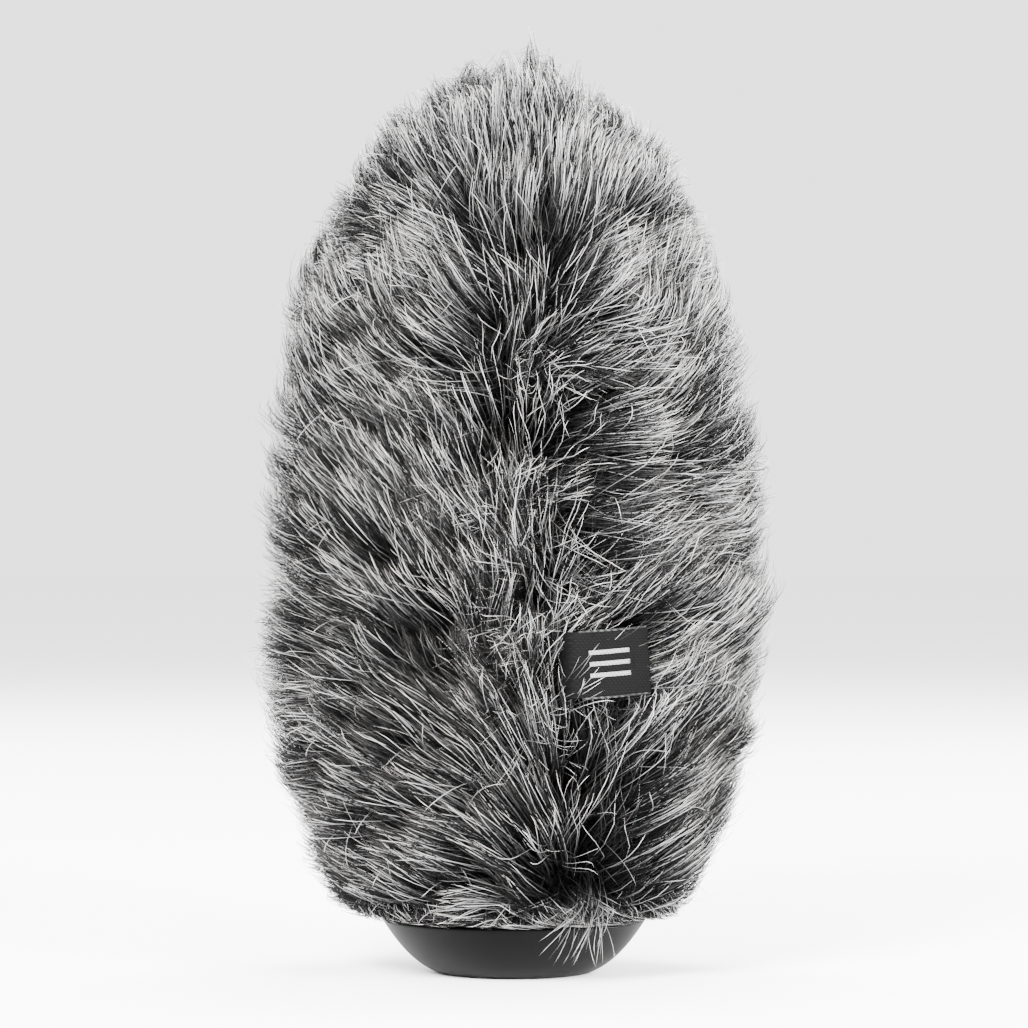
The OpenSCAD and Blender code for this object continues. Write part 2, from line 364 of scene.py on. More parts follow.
def new_object(name, mesh):
    thing = bpy.data.objects.new(name, mesh)
    bpy.context.scene.collection.objects.link(thing)
    return thing


TIP_TAPER = 0.72  # the share of its thickness that a hair loses towards its tip
CORNER_U = [0, 1 / 300, 1 / 600]  # where a hair's three corners lie across the map, beside its tint


def fibre_mesh(name, lines, t, across, radius, tint):
    """One mesh of tapered three-sided hairs. Its map holds the hair's tint and the way from root to tip."""
    count, steps, _ = lines.shape
    rings = steps - 1
    tangent = unit(np.gradient(lines, axis=1))
    side = unit(across[:, None, :] - tangent * (across[:, None, :] * tangent).sum(-1, keepdims=True))
    other = np.cross(tangent, side)
    taper = radius[:, None] * (1 - TIP_TAPER * t[None, :] ** 2)

    per_hair = rings * 3 + 1
    points = np.empty((count, per_hair, 3))
    for k in range(3):
        angle = k * math.tau / 3
        corner = lines + (side * math.cos(angle) + other * math.sin(angle)) * taper[..., None]
        points[:, k:rings * 3:3] = corner[:, :rings]
    points[:, -1] = lines[:, -1]

    sides = [(0, 1), (1, 2), (2, 0)]
    last = (rings - 1) * 3
    quads = [[at + a, at + b, at + b + 3, at + a + 3] for at in range(0, last, 3) for a, b in sides]
    tips = [[last + a, last + b, per_hair - 1] for a, b in sides] + [[2, 1, 0]]
    start = (np.arange(count) * per_hair)[:, None, None]
    quads = (np.array(quads)[None] + start).reshape(-1)
    tips = (np.array(tips)[None] + start).reshape(-1)
    loops = np.concatenate([quads, tips])
    uv = np.array([[u, at] for at in t[:-1] for u in CORNER_U] + [[CORNER_U[1] / 2, 1]])[loops % per_hair]
    uv = 0.01 + uv * [1, 0.98]
    uv[:, 0] += 0.97 * np.clip(tint, 0, 1)[loops // per_hair]

    sizes = np.concatenate([np.full(len(quads) // 4, 4), np.full(len(tips) // 3, 3)])
    mesh = bpy.data.meshes.new(name)
    mesh.vertices.add(count * per_hair)
    mesh.vertices.foreach_set("co", points.reshape(-1).astype(np.float32))
    mesh.loops.add(len(loops))
    mesh.loops.foreach_set("vertex_index", loops.astype(np.int32))
    mesh.polygons.add(len(sizes))
    mesh.polygons.foreach_set("loop_start", (np.cumsum(sizes) - sizes).astype(np.int32))
    mesh.polygons.foreach_set("use_smooth", np.ones(len(sizes), bool))
    layer = mesh.uv_layers.new(name=UV_LAYER)
    layer.uv.foreach_set("vector", uv.reshape(-1).astype(np.float32))
    mesh.update(calc_edges=True)
    mesh.validate()
    return new_object(name, mesh)


def grid_mesh(name, rows, closed=True):
    """A surface through rows of points; closed joins each row's ends."""
    rows = [np.asarray(row, float) for row in rows]
    width = len(rows[0])
    verts = np.concatenate(rows)
    faces = []
    for i in range(len(rows) - 1):
        for k in range(width if closed else width - 1):
            a, b = i * width + k, i * width + (k + 1) % width
            faces.append((a, b, b + width, a + width))
    mesh = bpy.data.meshes.new(name)
    mesh.from_pydata(verts.tolist(), [], faces)
    mesh.polygons.foreach_set("use_smooth", [True] * len(faces))
    mesh.update()
    return new_object(name, mesh)


def lathe(name, profile, segments, wobble=None):
    """A closed profile of (r, z) turned round the Z axis."""
    turns = np.linspace(0, math.tau, segments, endpoint=False)
    rows = []
    for r, z in list(profile) + [profile[0]]:
        radii = np.full(segments, r)
        if wobble:
            radii = radii + wobble(turns, r, z)
        rows.append(round_points(radii, turns, z))
    thing = grid_mesh(name, rows)
    merge_doubles(thing)
    return thing


def merge_doubles(thing, distance=1e-6):
    bm = bmesh.new()
    bm.from_mesh(thing.data)
    bmesh.ops.remove_doubles(bm, verts=bm.verts, dist=distance)
    bmesh.ops.dissolve_degenerate(bm, dist=distance, edges=bm.edges)
    bmesh.ops.recalc_face_normals(bm, faces=bm.faces)
    bm.to_mesh(thing.data)
    bm.free()


# ---------- materials

def material(name, roughness, specular):
    made = bpy.data.materials.new(name)
    made.use_nodes = True
    shader = made.node_tree.nodes["Principled BSDF"]
    shader.inputs["Roughness"].default_value = roughness
    shader.inputs["Specular IOR Level"].default_value = specular
    return made, made.node_tree, shader


def ramp(tree, factor, stops):
    node = tree.nodes.new("ShaderNodeValToRGB")
    elements = node.color_ramp.elements
    while len(elements) < len(stops):
        elements.new(0.5)
    for element, (place, colour) in zip(elements, stops):
        element.position = place
        element.color = (*colour, 1)
    tree.links.new(factor, node.inputs["Fac"])
    return node.outputs["Color"]


def noise(tree, scale):
    place = tree.nodes.new("ShaderNodeTexCoord")
    node = tree.nodes.new("ShaderNodeTexNoise")
    node.inputs["Scale"].default_value = scale
    node.inputs["Detail"].default_value = 4
    node.inputs["Roughness"].default_value = 0.6
    tree.links.new(place.outputs["Object"], node.inputs["Vector"])
    return node.outputs["Fac"]


def bump(tree, shader, height, strength, distance):
    node = tree.nodes.new("ShaderNodeBump")
    node.inputs["Strength"].default_value = strength
    node.inputs["Distance"].default_value = distance
    tree.links.new(height, node.inputs["Height"])
    tree.links.new(node.outputs["Normal"], shader.inputs["Normal"])


def blend_colours(tree, factor, first, second):
    node = tree.nodes.new("ShaderNodeMix")
    node.data_type = "RGBA"
    tree.links.new(factor, node.inputs[0])
    tree.links.new(first, node.inputs[6])
    tree.links.new(second, node.inputs[7])
    return node.outputs[2]


def grey(value, warm=0.0):
    return (value * (1 + warm), value, value * (1 - warm))


def fibre_material():
    """Salt-and-pepper hair: dark at the root, grey along the shaft and silver at the tip."""
    made, tree, shader = material("fur_fibre", 0.5, 0.02)
    place = tree.nodes.new("ShaderNodeUVMap")
    place.uv_map = UV_LAYER
    split = tree.nodes.new("ShaderNodeSeparateXYZ")
    tree.links.new(place.outputs["UV"], split.inputs["Vector"])
    tint, along = split.outputs["X"], split.outputs["Y"]
    dark = ramp(tree, along, [
        (0.0, grey(0.0005)), (0.6, grey(0.001)), (0.85, grey(0.002)), (1.0, grey(0.006, 0.05)),
    ])
    middle = ramp(tree, along, [
        (0.0, grey(0.0005)), (0.45, grey(0.001)), (0.7, grey(0.009)), (0.88, grey(0.035)),
        (1.0, grey(0.16, 0.08)),
    ])
    pale = ramp(tree, along, [
        (0.0, grey(0.001)), (0.4, grey(0.01)), (0.65, grey(0.1)), (0.84, grey(0.4)), (1.0, grey(0.95, 0.04)),
    ])
    to_middle = ramp(tree, tint, [(0.25, grey(0)), (0.5, grey(1))])
    to_pale = ramp(tree, tint, [(0.52, grey(0)), (0.8, grey(1))])
    colour = blend_colours(tree, to_pale, blend_colours(tree, to_middle, dark, middle), pale)
    tree.links.new(colour, shader.inputs["Base Color"])
    return made


def mottled_material(name, low, high, roughness, scale, bump_scale, bump_depth, specular):
    """A matt surface with a fine grain, and greys from low to high in slow patches."""
    made, tree, shader = material(name, roughness, specular)
    colour = ramp(tree, noise(tree, scale), [(0.3, grey(low)), (0.7, grey(high))])
    tree.links.new(colour, shader.inputs["Base Color"])
    bump(tree, shader, noise(tree, bump_scale), 0.5, bump_depth)
    return made


WAVE_PHASE = 20  # the radians that a wave texture of scale 1 turns in a metre


def knit_material(name, low, high, radian):
    """Cloth with fine crossed threads and greys from low to high. A radian of its waves has a length."""
    made, tree, shader = material(name, 0.85, 0.03)
    place = tree.nodes.new("ShaderNodeTexCoord")
    heights = []
    for direction in ("Z", "DIAGONAL"):
        wave = tree.nodes.new("ShaderNodeTexWave")
        wave.bands_direction = direction
        wave.inputs["Scale"].default_value = 1 / radian / WAVE_PHASE
        wave.inputs["Distortion"].default_value = 1.5
        wave.inputs["Detail"].default_value = 1
        tree.links.new(place.outputs["Object"], wave.inputs["Vector"])
        heights.append(wave.outputs["Fac"])
    mix = tree.nodes.new("ShaderNodeMath")
    mix.operation = "MULTIPLY"
    tree.links.new(heights[0], mix.inputs[0])
    tree.links.new(heights[1], mix.inputs[1])
    colour = ramp(tree, mix.outputs[0], [(0.1, grey(low)), (0.8, grey(high))])
    tree.links.new(colour, shader.inputs["Base Color"])
    bump(tree, shader, mix.outputs[0], 0.6, 0.1 * MM)
    return made


def foam_material():
    """Open-cell foam: dark pores in a grey skeleton."""
    made, tree, shader = material("open_cell_foam", 0.9, 0.03)
    place = tree.nodes.new("ShaderNodeTexCoord")
    cells = tree.nodes.new("ShaderNodeTexVoronoi")
    cells.feature = "DISTANCE_TO_EDGE"
    cells.inputs["Scale"].default_value = 900  # cells in a metre
    tree.links.new(place.outputs["Object"], cells.inputs["Vector"])
    colour = ramp(tree, cells.outputs["Distance"], [
        (0.0, grey(0.011)), (0.12, grey(0.006)), (0.35, grey(0.002)),
    ])
    tree.links.new(colour, shader.inputs["Base Color"])
    bump(tree, shader, cells.outputs["Distance"], 0.8, 0.4 * MM)
    return made


FIBRE = fibre_material()
RUBBER = mottled_material("boot_rubber", 0.0003, 0.0006, 0.5, 60, 2500, 0.02 * MM, specular=0.05)
COLLAR = mottled_material("collar_rubber", 0.002, 0.004, 0.6, 80, 1800, 0.03 * MM, specular=0.1)
POLYMER = mottled_material("core_polymer", 0.008, 0.012, 0.55, 90, 1500, 0.03 * MM, specular=0.2)
ELASTIC = mottled_material("elastic_rubber", 0.004, 0.008, 0.7, 300, 3000, 0.05 * MM, specular=0.1)
FOAM = foam_material()
KNIT = knit_material("backing_knit", 0.003, 0.012, 0.45 * MM)
TAPE = knit_material("binding_tape", 0.001, 0.005, 0.3 * MM)
LABEL = knit_material("label_weave", 0.002, 0.0036, 0.09 * MM)
THREAD = knit_material("label_thread", 0.12, 0.22, 0.09 * MM)
LABEL_EDGE = knit_material("label_edge", 0.01, 0.04, 0.16 * MM)


def finish_piece(thing, body, slot, look, *nodes):
    """Gives a piece its body and its material, and hides the CAD nodes that it stands for; its record slot is
    not used.
    """
    thing.data.materials.clear()
    thing.data.materials.append(look)
    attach(thing, body)
    if nodes:
        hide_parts(*nodes)


# ---------- camera, light and floor

LAMP_AIM = np.array([0, 0, 0.1])
FLOOR_DROP = 0.2 * MM  # the floor lies this far below the foot, so that the two faces don't meet


def add_camera():
    data = bpy.data.cameras.new("camera")
    data.lens = 153
    data.sensor_width = 36
    data.clip_start = 0.05
    camera = new_object("camera", data)
    camera.location = (0.0, -0.96, 0.1003)
    camera.rotation_euler = (math.pi / 2, 0, 0)
    bpy.context.scene.camera = camera


def add_light(name, energy, size, place):
    """An area lamp that points at the middle of the object."""
    data = bpy.data.lights.new(name, "AREA")
    data.energy = energy
    data.size = size
    light = new_object(name, data)
    light.location = place
    away = np.array(place) - LAMP_AIM
    light.rotation_euler = (
        math.acos(away[2] / np.linalg.norm(away)), 0, math.atan2(away[1], away[0]) + math.pi / 2,
    )


def add_studio():
    world = bpy.data.worlds.new("studio")
    world.use_nodes = True
    background = world.node_tree.nodes["Background"]
    background.inputs["Color"].default_value = (1, 1, 1, 1)
    background.inputs["Strength"].default_value = 2.6
    bpy.context.scene.world = world
    add_light("key", 105, 0.4, (-0.4, -0.95, 0.75))
    add_light("fill", 75, 0.4, (0.8, -0.9, 0.5))
    add_light("top", 30, 0.5, (0.1, 0.3, 1.1))
    add_light("back_left", 45, 0.5, (-0.8, 0.9, 0.7))
    add_light("back_right", 45, 0.5, (0.9, 0.8, 0.6))

    bpy.ops.mesh.primitive_plane_add(size=12, location=(0, 0, -FLOOR_DROP))
    floor = bpy.context.object
    floor.name = "floor"
    made, _, shader = material("floor", 0.9, 0.1)
    shader.inputs["Base Color"].default_value = (0.97, 0.97, 0.97, 1)
    floor.data.materials.append(made)


# ---------- boot and core

def add_boot():
    """The rubber boot: a bowl with a rounded foot and rim, and the spigot inside the hem."""
    inner_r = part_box("boot_insert_ring")[1][0]
    ledge_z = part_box("boot_insert_ring")[0][2]
    collar_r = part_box("mic_grip_collar")[1][0]
    rim_z = HEM_LOW[2] - 0.3 * MM
    rim_round = 0.7 * MM
    chamfer = 0.4 * MM
    ledge_width = 2 * MM
    floor_r, floor_z = inner_r - 7.9 * MM, 4.5 * MM

    foot = np.array([17 * MM, 0])
    foot_edge = (16.2 * MM, 0.0)
    pull = np.array([23.2 * MM, 2.2 * MM])
    rim = np.array([BOOT_RIM_R, rim_z - rim_round])
    bowl = [foot * (1 - t) ** 2 + pull * 2 * t * (1 - t) + rim * t * t for t in np.linspace(0, 1, 40)]
    bowl[0] = foot + np.array([0.1 * MM, 0.02 * MM])
    rim_edge = [(BOOT_RIM_R - a, rim_z - b) for a, b in rounding(rim_round, 8, 0.1)]
    inside = [
        (FOAM_R, rim_z), (FOAM_R, SPIGOT_TOP - chamfer), (FOAM_R - chamfer, SPIGOT_TOP),
        (inner_r, SPIGOT_TOP), (inner_r, ledge_z), (inner_r - ledge_width, ledge_z),
        (floor_r, floor_z), (collar_r, floor_z), (collar_r, chamfer), (collar_r + chamfer, 0.0),
    ]
    boot = lathe("rubber_boot", [foot_edge] + [tuple(p) for p in bowl] + rim_edge + inside, 192)
    sharp_edges(boot)
    finish_piece(boot, "core", "boot_rubber", RUBBER, "base_boot")


def rounding(size, steps, start=0.0):
    """How far the points of a rounded edge lie inside its corner, in from each of its two faces."""
    turns = np.linspace(start, math.pi / 2, steps)
    return zip(size * (1 - np.cos(turns)), size * (1 - np.sin(turns)))


def sharp_edges(thing, angle=35):
    bpy.ops.object.select_all(action="DESELECT")
    thing.select_set(True)
    bpy.context.view_layer.objects.active = thing
    bpy.ops.object.shade_smooth_by_angle(angle=math.radians(angle))


FOAM_INSET = 0.3 * MM  # how far inside the CAD's face the foam's lies, for its ripples
FOAM_RIPPLE = 0.22 * MM
AXIS_GAP = 1e-6  # how far from the axis a closed dome's top ring lies, before its points are merged
OUTER_FACE_R = 24 * MM  # the faces of the outer sleeve beyond this radius ripple
NOSE_FACE_R = 16 * MM  # and those of the nose beyond this one


def foam_ripples(beyond, depth=FOAM_RIPPLE):
    """A wobble for lathe: shallow ripples on the faces beyond a radius."""
    return lambda turns, r, z: depth * ripples(turns, z, 21, around=(3, 14), along=(100, 500)) * (r > beyond)


def add_foam():
    """The foam sleeves, the nose plug and the stop pad, with slightly uneven cut faces."""
    face_r = FOAM_R - FOAM_INSET
    low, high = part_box("outer_foam_sleeve")
    split_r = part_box("inner_foam_sleeve")[1][0]
    heights = np.linspace(low[2], high[2], 60)
    outside = [(face_r, z) for z in heights]
    inside = [(split_r, z) for z in heights[::-1]]
    outer = lathe("outer_foam", outside + inside, 128, foam_ripples(OUTER_FACE_R))

    low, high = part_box("inner_foam_sleeve")
    inner_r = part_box("cage_clip_bands")[1][0] + 0.3 * MM
    socket_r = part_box("cage_nose_cap")[1][0] + 0.5 * MM
    heights = np.linspace(low[2] + 4 * MM, high[2], 40)
    outside = [(split_r, low[2])] + [(split_r, z) for z in heights]
    inside = [(inner_r, z) for z in heights[::-1]] + [(socket_r, heights[0]), (socket_r, low[2])]
    inner = lathe("inner_foam", outside + inside, 96, foam_ripples(0, 0.15 * FOAM_RIPPLE))

    rises = np.linspace(0, math.pi / 2, 40)
    dome = [(face_r * math.cos(a) + AXIS_GAP, DOME_Z + face_r * math.sin(a)) for a in rises]
    cap_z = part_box("cage_half_left")[1][2]
    hollow = [(inner_r * math.cos(a) + AXIS_GAP, cap_z + inner_r * math.sin(a)) for a in rises[::-1]]
    nose = lathe("nose_foam", dome + hollow + [(inner_r, DOME_Z)], 128, foam_ripples(NOSE_FACE_R))

    low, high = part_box("mic_stop_pad")
    pad_r = high[0]
    edge = [(pad_r - b, low[2] + a) for a, b in rounding(0.6 * MM, 6)]
    face = [
        (r, low[2] + 0.25 * MM * math.cos(r / pad_r * 3))
        for r in np.linspace(AXIS_GAP, pad_r - 0.8 * MM, 10)
    ]
    pad = lathe("stop_pad", face + edge + [(pad_r, high[2]), (AXIS_GAP, high[2])], 96)
    for piece, node in (
        (outer, "outer_foam_sleeve"), (inner, "inner_foam_sleeve"), (nose, "foam_nose_plug"),
        (pad, "mic_stop_pad"),
    ):
        finish_piece(piece, "core", "foam", FOAM, node)
        sharp_edges(piece, 50)


# ---------- the sewn cover under the fur

def cloth_rows(low, high, turn_low, turn_high, radius, steps, columns, ruffle):
    """Rows of points of a cloth between two heights and two turns."""
    turns = np.linspace(turn_low, turn_high, columns)
    rows = []
    for z in np.linspace(low, high, steps):
        r = radius + ruffle * ripples(turns, z, 31, around=(4, 20), along=(100, 400))
        rows.append(round_points(r, turns, z))
    return rows


def thicken(thing, depth):
    modifier = thing.modifiers.new("thickness", "SOLIDIFY")
    modifier.thickness = depth
    modifier.offset = 0


TAPE_WIDTH = 8 * MM
TAPE_DEPTH = 0.28 * MM
TAPE_R = BACKING_IN_R - 0.2 * MM  # the middle of the tapes' thickness
TAPE_RUFFLE = 0.04 * MM
PUCKERS = 46  # round the hem's binding


def add_tapes():
    """The tapes inside the seams, and the folded binding round the hem with its puckers."""
    tapes = []
    for side, turn in (("front", SEAM_TURN), ("back", SEAM_TURN + math.pi)):
        low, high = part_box(f"{side}_seam_tape")
        half = TAPE_WIDTH / 2 / BACKING_IN_R
        rows = cloth_rows(low[2], high[2], turn - half, turn + half, TAPE_R, 80, 9, TAPE_RUFFLE)
        tape = grid_mesh(f"{side}_tape", rows, closed=False)
        thicken(tape, TAPE_DEPTH)
        finish_piece(tape, "fur_cover", "binding_tape", TAPE, f"{side}_seam_tape")
        tapes.append(tape)

    low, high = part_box("crown_seam_tape")
    rows = cloth_rows(low[2], high[2], 0, math.tau, TAPE_R, 9, 160, TAPE_RUFFLE)
    ring = grid_mesh("crown_tape", [row[:-1] for row in rows])
    thicken(ring, TAPE_DEPTH)
    finish_piece(ring, "fur_cover", "binding_tape", TAPE, "crown_seam_tape")
    tapes.append(ring)

    inner = BACKING_IN_R - 0.5 * MM
    fold = 0.6 * MM
    corner = 0.45 * MM
    inner_chamfer = 0.3 * MM
    channel_out = HEM_R - 0.5 * MM
    foot, top = HEM_LOW[2], HEM_HIGH[2]
    outside = [(HEM_R, z) for z in np.linspace(top, foot + 2 * corner, 8)]
    rounded = [(HEM_R - a, foot + b) for a, b in rounding(corner, 6)]
    bottom = [(inner + inner_chamfer, foot), (inner, foot + inner_chamfer)]
    within = [
        (inner, top), (BACKING_IN_R, top), (BACKING_IN_R, foot + fold),
        (channel_out, foot + fold), (channel_out, top),
    ]

    def puckers(turns, r, z):
        on_face = r > channel_out + 0.1 * MM
        return 0.12 * MM * np.sin(turns * PUCKERS) * on_face - 0.001 * MM

    binding = lathe("hem_tape", outside + rounded + bottom + within, 240, puckers)
    sharp_edges(binding, 50)
    finish_piece(binding, "fur_cover", "binding_tape", TAPE, "hem_binding")
    tapes.append(binding)
    return tapes


def add_backing(tapes):
    """The three knitted panels, which carry the seam tapes and the bound hem; the tapes that it is given are
    not used.
    """
    front_tape, back_tape, crown_tape, hem_tape = tapes
    wall = BACKING_R - BACKING_IN_R
    middle = (BACKING_R + BACKING_IN_R) / 2
    for side, low_turn, trim in (
        ("left", SEAM_TURN - math.pi, [front_tape, back_tape]), ("right", SEAM_TURN, [hem_tape]),
    ):
        node = f"backing_panel_{side}"
        low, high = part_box(node)
        rows = cloth_rows(low[2], high[2], low_turn, low_turn + math.pi, middle, 70, 70, 0.08 * MM)
        panel = grid_mesh(f"backing_{side}", rows, closed=False)
        thicken(panel, wall * 0.7)
        finish_piece(panel, "fur_cover", "backing_knit", KNIT, node)

    rows = []
    turns = np.linspace(0, math.tau, 96, endpoint=False)
    for rise in np.linspace(0, math.pi / 2, 28):
        rows.append(round_points(middle * math.cos(rise) + AXIS_GAP, turns, DOME_Z + middle * math.sin(rise)))
    crown = grid_mesh("backing_dome", rows)
    merge_doubles(crown, 5e-6)
    thicken(crown, wall * 0.7)
    finish_piece(crown, "fur_cover", "backing_knit", KNIT, "backing_crown")


# ---------- label

def label_path():
    """The tape's path from the seam out through the pile and over it, as (round, out) points."""
    bend = 2.2 * MM
    start = (0.5 * MM, BACKING_R + 0.3 * MM)
    corner = (0.5 * MM, LABEL_TURN_R)
    end = (LABEL_LENGTH, LABEL_TURN_R - 2 * MM)
    points = [(start[0], v) for v in np.linspace(start[1], corner[1] - bend, 16)]
    for a in np.linspace(0, math.pi / 2, 9)[1:]:
        points.append((corner[0] + bend * (1 - math.cos(a)), corner[1] - bend + bend * math.sin(a)))
    first = points[-1]
    for t in np.linspace(0, 1, 20)[1:]:
        sag = 0.25 * MM * math.sin(math.pi * t)
        points.append((first[0] + (end[0] - first[0]) * t, first[1] + (end[1] - first[1]) * t + sag))
    return np.array(points)


def to_label_place(points):
    """From the label's own frame (round, up its width, out) to the scene's."""
    around, up, out = points[..., 0], points[..., 1], points[..., 2]
    c, s = math.cos(LABEL_TILT), math.sin(LABEL_TILT)
    around, up = around * c - up * s, around * s + up * c
    x = around * math.cos(SEAM_TURN) + out * math.sin(SEAM_TURN)
    y = around * math.sin(SEAM_TURN) - out * math.cos(SEAM_TURN)
    return np.stack([x, y, up + LABEL_Z], axis=-1)


def path_frame(path):
    """The directions along a path of (round, out) points and out of it."""
    tangent = unit(np.gradient(path, axis=0))
    return tangent, np.stack([-tangent[:, 1], tangent[:, 0]], axis=-1)


def ribbon(name, path, low, high, depth, rows_across, height=0.0):
    """A flat tape along a path of (round, out) points and over it, between two places across the label."""
    outward = path_frame(path)[1]
    rows = []
    for w in np.linspace(low, high, rows_across):
        crimp = height + 0.05 * MM * np.sin(w / MM * 1.3 + path[:, 0] / MM * 0.4)
        moved = path + outward * np.broadcast_to(crimp, len(path))[:, None]
        rows.append(to_label_place(np.stack([moved[:, 0], np.full(len(path), w), moved[:, 1]], axis=-1)))
    thing = grid_mesh(name, rows, closed=False)
    thicken(thing, depth)
    return thing


LABEL_GAP = 0.24 * MM  # from the label's path to the middle of each of its two layers
LABEL_DEPTH = 0.36 * MM
BAR_PITCH = 2.4 * MM
BAR_WIDTH = 0.9 * MM
BAR_DEPTH = 0.12 * MM
BAR_HEIGHT = 0.5 * MM  # of the bars over the label's path
EDGE_HEIGHT = 0.42 * MM  # of the bound edges over it
EDGE_DEPTH = 0.2 * MM


def add_label():
    """The folded woven label: two layers with a rounded end fold, bound edges and three plain woven bars."""
    path = label_path()
    half = LABEL_WIDTH / 2
    tangent, outward = path_frame(path)
    front = path + outward * LABEL_GAP
    back = (path - outward * LABEL_GAP)[::-1]
    fold = [
        path[-1] + tangent[-1] * LABEL_GAP * math.sin(a) + outward[-1] * LABEL_GAP * math.cos(a)
        for a in np.linspace(0.3, math.pi - 0.3, 7)
    ]
    loop = np.concatenate([front, np.array(fold), back])
    tab = ribbon("label", loop, -half, half, LABEL_DEPTH, 30)
    finish_piece(tab, "fur_cover", "label_weave", LABEL, "label_tab")

    face = path[FACE_FROM:]
    bar_x = LABEL_LENGTH / 2 + BAR_LENGTH * np.linspace(-0.5, 0.5, 12)
    line = np.stack([bar_x, np.interp(bar_x, face[:, 0], face[:, 1])], axis=-1)
    for number in range(3):
        low = (number - 1) * BAR_PITCH - BAR_WIDTH / 2
        bar = ribbon(f"label_bar_{number}", line, low, low + BAR_WIDTH, BAR_DEPTH, 4, BAR_HEIGHT)
        finish_piece(bar, "fur_cover", "label_thread", THREAD, "label_mark")

    for number, w in enumerate((-half, half)):
        low, high = w - 0.35 * MM, w + 0.1 * MM
        rim = ribbon(f"label_edge_{number}", path[FACE_FROM - 1:], low, high, EDGE_DEPTH, 3, EDGE_HEIGHT)
        finish_piece(rim, "fur_cover", "label_thread", LABEL_EDGE)


# ---------- fur

LOCKS = 430
TUFTS = 2600
HAIRS_IN_TUFT = 34
UNDERHAIRS = 14000
STRAYS = 900
CURLS = 125
HAIRS_IN_CURL = 10
FRINGE_CLUMPS = 260
HAIRS_IN_CLUMP = 20
LOOSE_HAIRS = 48
CROSSING_HAIRS = 11

# The points along a hair, from 0 at its root to 1 at its tip
GUARD_STEPS = np.array([0, 0.32, 0.56, 0.75, 0.9, 1])
UNDER_STEPS = np.array([0, 0.4, 0.75, 1])
STRAY_STEPS = np.linspace(0, 1, 14)
TANGLE_STEPS = np.linspace(0, 1, 12)
FRINGE_STEPS = np.linspace(0, 1, 5)


def held_up(lines, low=HEM_CLEAR_Z):
    """The lines with what hangs below a height drawn up towards it, and the pile's foot drawn in."""
    lines = lines.copy()
    z = lines[..., 2]
    lines[..., 2] = np.where(z < low, low - (low - z) * 0.15, z)
    r = np.hypot(lines[..., 0], lines[..., 1])
    tuck = 0.45 * (1 - smooth(lines[..., 2], 10.5 * MM, 16 * MM))
    share = 1 - tuck * (1 - 0.7 * smooth(lines[..., 0], 20 * MM, 40 * MM))
    drawn_in = np.where(r > BACKING_R, BACKING_R + (r - BACKING_R) * share, r)
    lines[..., :2] *= (drawn_in / np.maximum(r, 1e-9))[..., None]
    return lines


def swung_up(lines, t, low):
    """The lines with each one that would hang below a height swung up to it."""
    lines = lines.copy()
    short = np.maximum(low - lines[..., 2].min(axis=1), 0)
    lines[..., 2] += short[:, None] * t[None, :]
    return lines


# Tufts that stand out of the top: across, how high and how wide, in mm
PEAKS = [
    (3.6, 8, 1.5), (-2.0, 4.5, 1.4), (-9.5, 2.5, 1.6), (14.5, 4.5, 1.6), (19.0, 3.0, 1.6), (8.0, 2.0, 1.0),
]


def peaked(lines):
    """The lines with a few tufts of the crown drawn up to a point."""
    lines = lines.copy()
    x, y, z = lines[..., 0], lines[..., 1], lines[..., 2]
    near = smooth(z, 172 * MM, 198 * MM) * np.exp(-(y / (9 * MM)) ** 2)
    rise = np.zeros_like(z)
    for across, height, width in PEAKS:
        rise = rise + height * MM * np.exp(-((x - across * MM) / (width * MM)) ** 2)
    lines[..., 2] = z + near * rise
    return lines


def gathered(lines, t, others, share, start):
    """The lines drawn towards others by a share that grows from a start to the tip."""
    pull = (share[:, None] * smooth(t, start, 1.0)[None, :])[..., None]
    return lines * (1 - pull) + others * pull


def freely_waved(lines, across, t, draw, sizes, turns):
    """The lines with waves drawn from a range of sizes in mm and a range of turns."""
    count = len(lines)
    size = draw.uniform(*sizes, count) * MM
    phase = draw.uniform(0, math.tau, count)
    return waved(lines, across, t, size, phase, draw.uniform(*turns, count))


def swept(start, change, t, power):
    """A measure of each hair along it, from its start at the root to its full change at the tip."""
    return start[:, None] + change[:, None] * t[None, :] ** power


def nearest(points, centres):
    """The index of the centre nearest to each point."""
    return np.argmin(np.linalg.norm(points[:, None] - centres[None], axis=-1), axis=1)


def random_tints(draw, shade):
    """Salt and pepper: each hair is drawn pale or dark, by its tuft's shade from 0 to 1."""
    pale = draw.uniform(0, 1, len(shade)) < shade
    return np.where(pale, draw.uniform(0.52, 1, len(shade)), draw.uniform(0, 0.56, len(shade)))


# Each of the next functions makes one kind of hair: its lines, their steps, the directions across them,
# their radii and their tints. The order of the random draws is part of the result.

